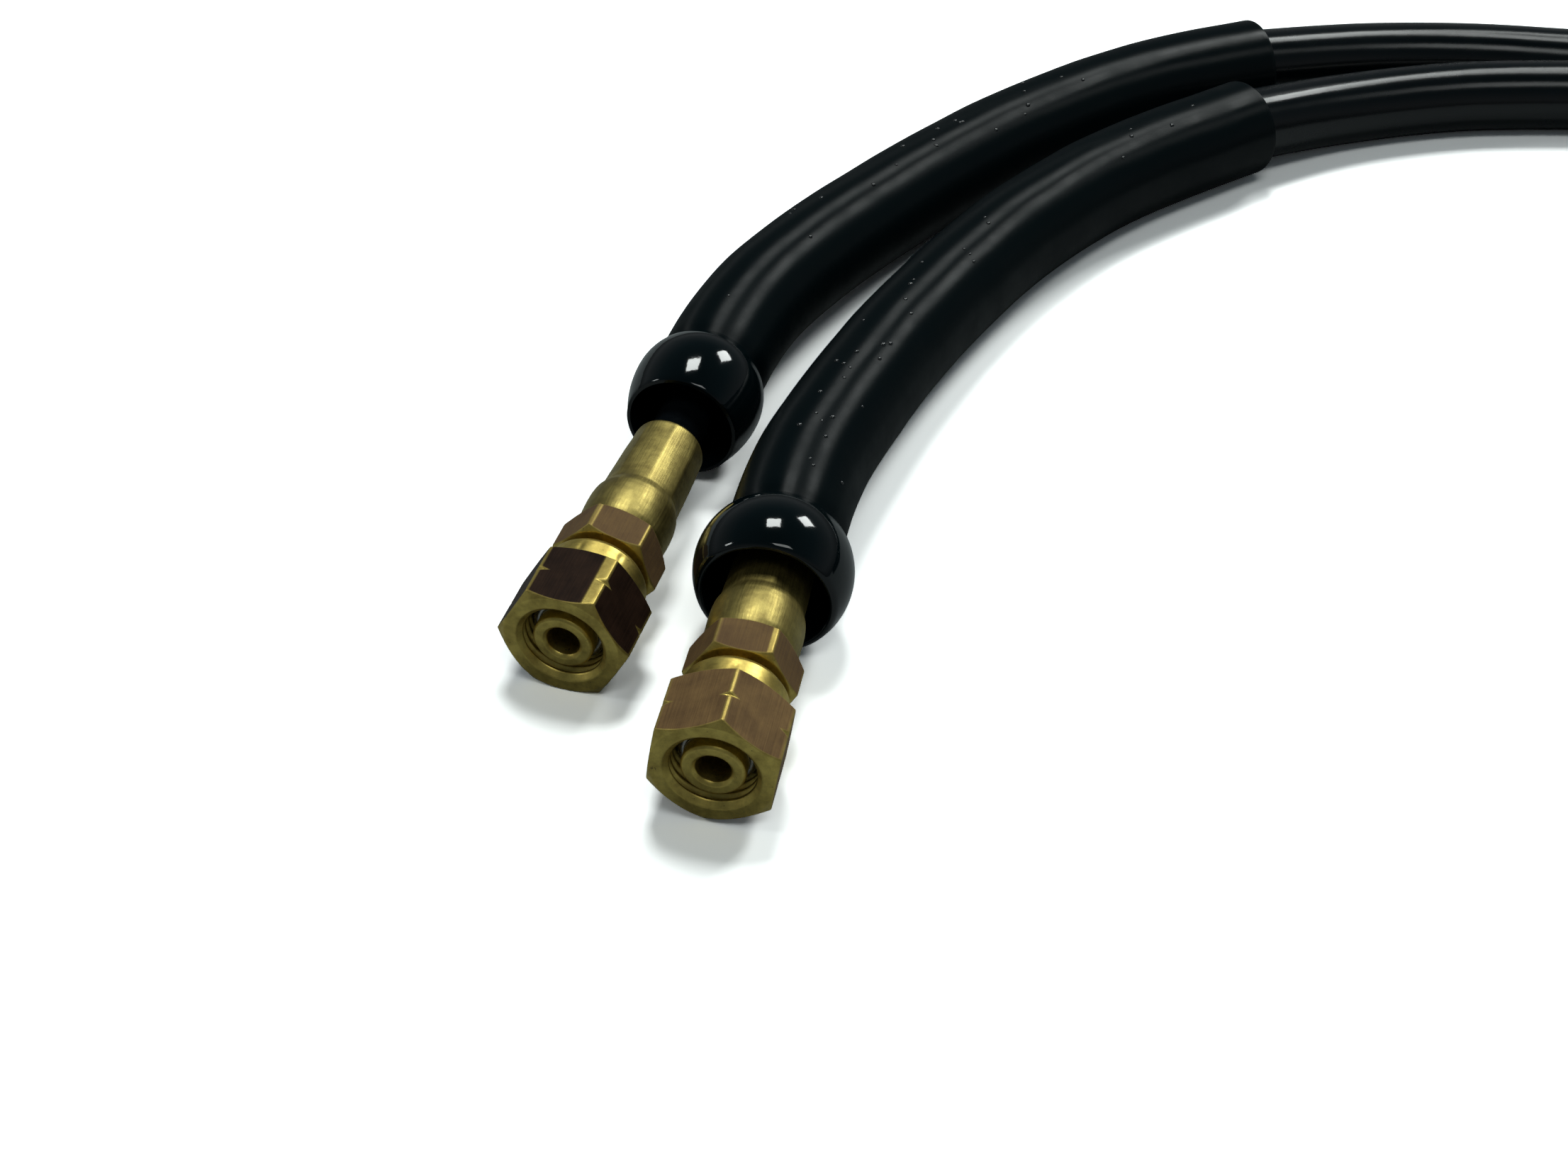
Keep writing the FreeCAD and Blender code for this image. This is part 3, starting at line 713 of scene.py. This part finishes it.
def ferrule_outline():
    """The crimped shell: a dome, the crimp's step, a long drawn barrel and its rolled lip."""
    dome = [
        (5.9, 22.3),
        (6.35, 22.65),
        (6.6, 23.6),
        (6.74, 25.2),
        (6.8, 27.0),
        (6.76, 28.6),
        (6.62, 29.8),
        (6.34, 30.6),
        (6.1, 31.2),
        (6.08, 32.0),
    ]
    barrel = [(5.98, 36.0), (5.8, 41.0), (5.55, 45.2), (5.1, 45.7)]
    inside = [(4.12, 45.7), (4.12, 24.6), (3.63, 24.6), (3.63, 22.3)]
    return softened(dome + barrel + inside, 0.25, 0.3)


def ferrule_shape(radius, angle, depth):
    """Eight crimp jaws leave faint flats on the barrel, and the shell is slightly uneven."""
    outer = radius > 4.9
    on_barrel = np.clip((depth - 31.0) / 1.5, 0, 1) * np.clip((45.6 - depth) / 2.0, 0, 1)
    turn = (angle + 0.3) % (math.pi / 4) - math.pi / 8
    flat = (np.cos(math.pi / 8) / np.cos(turn)) - 1
    wobble = 0.03 * np.sin(3 * angle + 0.35 * depth) + 0.02 * np.sin(5 * angle - 0.6 * depth)
    change = radius * flat * 0.45 * on_barrel + wobble * 0.6
    return radius + np.where(outer, change, 0.0), np.zeros_like(radius)


def make_ferrule(side, material):
    return turned_piece(
        f"crimp_ferrule_{side}_drawn",
        side,
        ferrule_outline(),
        160,
        ferrule_shape,
        material,
        f"hose_end_{side}",
        [f"crimp_ferrule_{side}"],
    )


# ---------------------------------------------------------------- cord and sleeves


def spline_curve(name, points, radius=0.0):
    """One open NURBS spline with these control points, in metres."""
    data = bpy.data.curves.new(name, "CURVE")
    data.dimensions = "3D"
    data.resolution_u = 16
    data.bevel_depth = radius
    data.bevel_resolution = 10
    data.use_fill_caps = radius > 0
    spline = data.splines.new("NURBS")
    spline.points.add(len(points) - 1)
    for control, place in zip(spline.points, points):
        control.co = (*(part * MM for part in place), 1.0)
    spline.order_u = 3
    spline.use_endpoint_u = True
    return bpy.data.objects.new(name, data)


def line_points(name, points):
    """The places along a smooth curve, in millimetres."""
    curve = spline_curve(name, points)
    bpy.context.scene.collection.objects.link(curve)
    mesh = bpy.data.meshes.new_from_object(curve)
    places = np.array([v.co for v in mesh.vertices]) / MM
    bpy.data.meshes.remove(mesh)
    bpy.data.objects.remove(curve)
    return places


def coil_points():
    """Control points of the coiled turns. They stand out a little, so that the curve, which
    cuts its corners, has each turn's radius."""
    wound = [entry[0] for entry in COIL_TURNS]
    step = COIL_END / (COIL_STEPS + 0.5)
    outside = 1 / math.cos(math.radians(step / 2))
    points = []
    for k in range(COIL_STEPS):
        turn = step * (k + 0.5)
        radius = np.interp(turn, wound, [entry[1] for entry in COIL_TURNS]) * outside
        height = np.interp(turn, wound, [entry[2] for entry in COIL_TURNS])
        points.append(
            (
                COIL_CENTRE[0] + radius * math.sin(math.radians(turn)),
                COIL_CENTRE[1] + radius * math.cos(math.radians(turn)),
                height,
            )
        )
    return points


def make_conduit(material):
    """The free conduit: out of the left sleeve, round the coil and into the right sleeve."""
    start, finish = SLEEVE_ROUTE["left"][-1], SLEEVE_ROUTE["right"][-1]
    route = [start, *CONDUIT_ROUTE["left"], *coil_points()]
    route += [*reversed(CONDUIT_ROUTE["right"]), finish]
    conduit = spline_curve("conduit", route, CONDUIT_RADIUS * MM)
    conduit.data.materials.append(material)
    bpy.context.scene.collection.objects.link(conduit)
    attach(conduit, "hose_run")
    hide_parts("conduit_run_left", "conduit_run_right", "conduit_coil")


def sleeve_line(side):
    """Places every half millimetre along the sleeve's middle, and their distance behind the
    ball's middle."""
    face, along, _, _ = end_frame(side)
    ball = face + along * BALL_DEPTH[side]
    lead = 12.0
    control = [ball - along * lead, ball, ball + along * FIRST_STRAIGHT]
    control += [np.array(place) for place in SLEEVE_ROUTE[side]]
    places = line_points(f"line_{side}", control)
    travel = np.concatenate([[0], np.cumsum(np.linalg.norm(np.diff(places, axis=0), axis=1))])
    even = np.arange(0, travel[-1], 0.5)
    places = np.stack([np.interp(even, travel, places[:, k]) for k in range(3)], 1)
    return places, even - lead


def crease_at(side):
    """How far behind the ball's middle the ball meets the tube."""
    return math.sqrt(BALL_RADIUS[side] ** 2 - CREASE_RADIUS**2)


def outer_radius(side, distance):
    """The sleeve's outer radius behind or ahead of the ball's middle."""
    ball, front = BALL_RADIUS[side], FRONT_ARC[side]
    ahead = ball - front + np.sqrt(np.maximum(front**2 - distance**2, 0))
    sphere = np.sqrt(np.maximum(ball**2 - distance**2, 0))
    crease = crease_at(side)
    back = np.clip((distance - crease) / 3.2, 0, 1)
    tube = CREASE_RADIUS - 0.25 + (SLEEVE_RADIUS - CREASE_RADIUS + 0.25) * np.sqrt(
        np.clip(1 - (1 - back) ** 2, 0, 1)
    )
    share = np.clip(0.5 + 0.5 * (tube - sphere) / 0.7, 0, 1)
    behind = sphere + (tube - sphere) * share + 0.7 * share * (1 - share)
    return np.where(distance < 0, ahead, np.where(distance > crease + 4, SLEEVE_RADIUS, behind))


def ball_outline(side):
    """Closed rows of (distance, radius): over the ball from mouth to crease, and back inside."""
    mouth, opening, crease = -MOUTH_AHEAD[side], MOUTH_RADIUS[side], crease_at(side)
    rim = float(outer_radius(side, np.array(mouth)))
    rows = [(mouth + 0.35, opening), (mouth + 0.08, opening + 0.12), (mouth, opening + 0.35)]
    rows += [(mouth, rim - 0.4), (mouth + 0.1, rim - 0.1)]
    for distance in np.linspace(mouth + 0.4, crease, 34):
        rows.append((distance, float(outer_radius(side, distance))))
    cavity = BALL_RADIUS[side] - BELL_WALL
    back = math.sqrt(cavity**2 - SLEEVE_BORE**2)
    rows += [(crease, SLEEVE_BORE)]
    front = -math.sqrt(max(cavity**2 - opening**2, 0.0))
    for distance in np.linspace(min(back, crease - 0.1), front, 14):
        rows.append((distance, math.sqrt(cavity**2 - distance**2)))
    return rows


def tube_outline(side, length):
    """Closed rows of (distance, radius): along the tube from crease to rear end, and back
    through the bore."""
    crease = crease_at(side)
    rows = []
    for distance in np.arange(crease, length - SLEEVE_EDGE, 0.45):
        rows.append((distance, float(outer_radius(side, distance))))
    for turn in np.radians(np.arange(0, 91, 15)):
        back = SLEEVE_EDGE * (1 - math.sin(turn))
        rows.append((length - back, SLEEVE_RADIUS - SLEEVE_EDGE * (1 - math.cos(turn))))
    rows += [(length, SLEEVE_BORE + 0.1), (length - 0.2, SLEEVE_BORE)]
    rows += [(distance, SLEEVE_BORE) for distance in np.arange(length - 3, crease + 1, -3.0)]
    return rows + [(crease, SLEEVE_BORE)]


def pimples(side, place_at, count, first, last, seed):
    """Small domes where the dip left drops: points and faces, scattered along the tube's top."""
    draw = random.Random(seed)
    spokes = 10
    tilts = (0.0, 25.0, 50.0, 72.0)
    points, faces = [], []
    for _ in range(count):
        at = draw.uniform(first, last)
        angle = math.radians(draw.gauss(82, 17))
        size = draw.uniform(0.26, 0.46)
        middle, sideways, upwards, along = place_at(at)
        outward = math.cos(angle) * sideways + math.sin(angle) * upwards
        round_it = -math.sin(angle) * sideways + math.cos(angle) * upwards
        centre = middle + outward * (float(outer_radius(side, at)) - 0.04)
        base = len(points)
        for tilt in tilts:
            for turn in range(spokes):
                spin = math.tau * turn / spokes
                reach = size * math.cos(math.radians(tilt))
                flat = reach * (math.cos(spin) * along + math.sin(spin) * round_it)
                points.append(centre + flat + outward * 0.7 * size * math.sin(math.radians(tilt)))
        points.append(centre + outward * 0.7 * size)
        for ring in range(len(tilts) - 1):
            low = base + ring * spokes
            high = low + spokes
            for turn in range(spokes):
                after = (turn + 1) % spokes
                faces.append((low + turn, low + after, high + after, high + turn))
        top = base + spokes * len(tilts)
        rim = top - spokes
        faces += [(rim + turn, rim + (turn + 1) % spokes, top) for turn in range(spokes)]
        faces.append(tuple(base + turn for turn in reversed(range(spokes))))
    return points, faces


def make_sleeve(side, ball_look, tube_look, drop_look, waves, drops):
    """The sleeve in pieces that meet at the crease: the dipped ball, the tube and its drops."""
    places, distance = sleeve_line(side)
    tangent = np.gradient(places, axis=0)
    tangent /= np.linalg.norm(tangent, axis=1)[:, None]
    across = np.cross(tangent, (0, 0, 1))
    across /= np.linalg.norm(across, axis=1)[:, None]
    up = np.cross(across, tangent)
    steps = 144
    angle = np.linspace(0, 2 * math.pi, steps, endpoint=False) - math.pi / 2

    def place_at(at):
        return [
            np.array([np.interp(at, distance, line[:, k]) for k in range(3)])
            for line in (places, across, up, tangent)
        ]

    def swept(rows, wavy):
        points = []
        for at, radius in rows:
            middle, sideways, upwards, _ = place_at(at)
            reach = np.full(steps, radius)
            if wavy and radius > SLEEVE_BORE + 1.0 and at > 12:
                swell = sum(
                    depth * np.sin(2 * math.pi * at / cycle + turns * angle + shift)
                    for depth, cycle, turns, shift in waves
                )
                reach += swell * min(1.0, (at - 12) / 10) * np.clip(1.2 + np.sin(angle), 0, 1)
            points.append(
                middle
                + (reach * np.cos(angle))[:, None] * sideways
                + (reach * np.sin(angle))[:, None] * upwards
            )
        return np.concatenate(points)

    def add_part(name, points, faces, look, uv=None):
        node = f"bell_sleeve_{side}"
        piece = add_piece(
            f"{name}_{side}", points, faces, look, "hose_run", [node], uv=uv
        )
        piece.data.set_sharp_from_angle(angle=math.radians(50))

    rows = ball_outline(side)
    add_part("sleeve_ball", swept(rows, False), ring_faces(len(rows), steps, True)[0], ball_look)
    rows = tube_outline(side, distance[-1])
    faces, corners = ring_faces(len(rows), steps, True)
    add_part("sleeve_tube", swept(rows, True), faces, tube_look, corners[:, ::-1])
    add_part("sleeve_drops", *pimples(side, place_at, *drops), drop_look)


# ---------------------------------------------------------------- coil ties


def make_tie(node, material):
    """A strap round the coil's section, with rounded edges."""
    low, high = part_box(node)
    middle = (low + high) / 2 / MM
    turn = math.atan2(middle.y - COIL_CENTRE[1], middle.x - COIL_CENTRE[0])
    outward = np.array([math.cos(turn), math.sin(turn), 0.0])
    along = np.array([-math.sin(turn), math.cos(turn), 0.0])
    centre = np.array([*COIL_CENTRE, 0.0])
    loop = [
        (58.6, 0.42),
        (78.6, 0.42),
        (82.0, 3.6),
        (82.2, 9.0),
        (77.2, 20.2),
        (73.4, 25.3),
        (63.8, 25.3),
        (60.0, 20.2),
        (55.0, 9.0),
        (55.2, 3.6),
    ]
    loop = softened(loop, 1.6, 0.8)
    half_width = 2.9
    section = [(-half_width, 0.0), (-half_width + 0.3, 0.34), (half_width - 0.3, 0.34)]
    section += [(half_width, 0.0), (half_width - 0.3, -0.34), (-half_width + 0.3, -0.34)]
    ahead = np.roll(loop, -1, 0) - np.roll(loop, 1, 0)
    ahead /= np.linalg.norm(ahead, axis=1)[:, None]
    normal = np.stack([ahead[:, 1], -ahead[:, 0]], 1)
    points = []
    for (radius, height), (out, rise) in zip(loop, normal):
        for wide, thick in section:
            place = centre + outward * (radius + out * thick) + along * wide
            points.append(place + np.array([0, 0, height + rise * thick]))
    faces, _ = ring_faces(len(loop), len(section), True)
    tie = add_piece(
        f"{node}_strap", points, faces, material, "hose_run", [node]
    )
    smoothing = tie.modifiers.new("rounded", "SUBSURF")
    smoothing.levels = 2
    smoothing.render_levels = 2
    return tie


# ---------------------------------------------------------------- build

add_camera()
add_world()
add_softbox("softbox_above", 0, 68, 0.27, 0.25, 19.0)
add_softbox("softbox_beside", 43, 38, 0.24, 0.24, 17.0)
add_softbox("softbox_front", 160, 64, 0.45, 0.22, 4.0)
add_softbox("window_left", -87, 30, 0.16, 0.16, 9.0)
add_floor()
bpy.context.scene.view_settings.view_transform = "Standard"

tie_look = tie_black()
ties = [make_tie(f"coil_tie_{number}", tie_look) for number in (1, 2)]
make_conduit(conduit_black(0.95))

SLEEVE_WAVES = {
    "left": [(0.04, 47.0, 1, 0.4), (0.025, 23.0, -1, 1.9), (0.01, 13.0, 2, 0.9)],
    "right": [(0.045, 39.0, 1, 2.1), (0.025, 21.0, -2, 0.3), (0.01, 11.0, 1, 2.6)],
}
ball_look = sleeve_black("sleeve_ball", 0.07, 0.0, 0.5)
tube_look = sleeve_black("sleeve_tube", 0.44, 1.0, 0.30)
drop_look = sleeve_black("sleeve_drops", 0.24, 0.0, 1.0)
# drops on the tube: how many, from and to behind the ball's middle, and the draw's seed
DROPS = {"left": (22, 14.0, 118.0, 3), "right": (34, 13.0, 150.0, 8)}
# the nuts' oxide, lighter and darker
NUT_SKINS = {
    "left": (colour(0.034, 0.017, 0.010), colour(0.012, 0.006, 0.004)),
    "right": (colour(0.250, 0.152, 0.062), colour(0.140, 0.082, 0.038)),
}
# strips of the flats that are rubbed bright: from and to, in degrees about the fitting's axis
NUT_WORN = {"left": [(58.0, 68.5)], "right": [(80.0, 82.5)]}
TAIL_WORN = {"left": [(42.0, 45.0), (98.5, 100.5)], "right": [(53.8, 60.4)]}
# crimp dents on the nuts' collars: angle, depth, width, length, how deep
NUT_DENTS = {
    "left": [
        (1.75, 12.6, 0.45, 0.9, 0.10),
        (0.95, 13.2, 0.4, 0.8, 0.09),
        (3.6, 12.9, 0.5, 0.9, 0.1),
    ],
    "right": [
        (1.5, 12.8, 0.5, 0.9, 0.10),
        (2.6, 13.0, 0.4, 0.8, 0.08),
        (0.4, 12.7, 0.5, 0.9, 0.1),
    ],
}
BRIGHT = colour(0.72, 0.555, 0.15)
DULL = colour(0.43, 0.315, 0.08)
TAIL_SKIN = (colour(0.195, 0.118, 0.048), colour(0.120, 0.070, 0.034))
tail_look = brass("tail_brass", *TAIL_SKIN, BRIGHT, DULL)
ferrule_look = ferrule_brass()
for side in SIDES:
    make_sleeve(side, ball_look, tube_look, drop_look, SLEEVE_WAVES[side], DROPS[side])
    nut_look = brass(f"nut_brass_{side}", *NUT_SKINS[side], BRIGHT, DULL)
    make_nut(side, nut_look, NUT_DENTS[side], NUT_WORN[side])
    make_tail(side, tail_look, TAIL_WORN[side])
    make_ferrule(side, ferrule_look)

hidden_looks = {
    "retaining_ring": plain_material(
        "ring_steel", colour(0.55, 0.55, 0.54), colour(0.40, 0.40, 0.39), 0.3, 1.0, 2.0, 0.005
    ),
    "hose_core": plain_material(
        "hose_liner", colour(0.04, 0.04, 0.045), colour(0.06, 0.06, 0.065), 0.5
    ),
    "hose_braid": yarn_braid(),
    "hose_cover": hose_black(),
    "conduit_end": conduit_black(),
    "inner_hose_run": hose_black(),
}
for side in SIDES:
    for name, look in hidden_looks.items():
        piece = frame["nodes"][f"{name}_{side}"]
        piece.data.materials.clear()
        piece.data.materials.append(look)
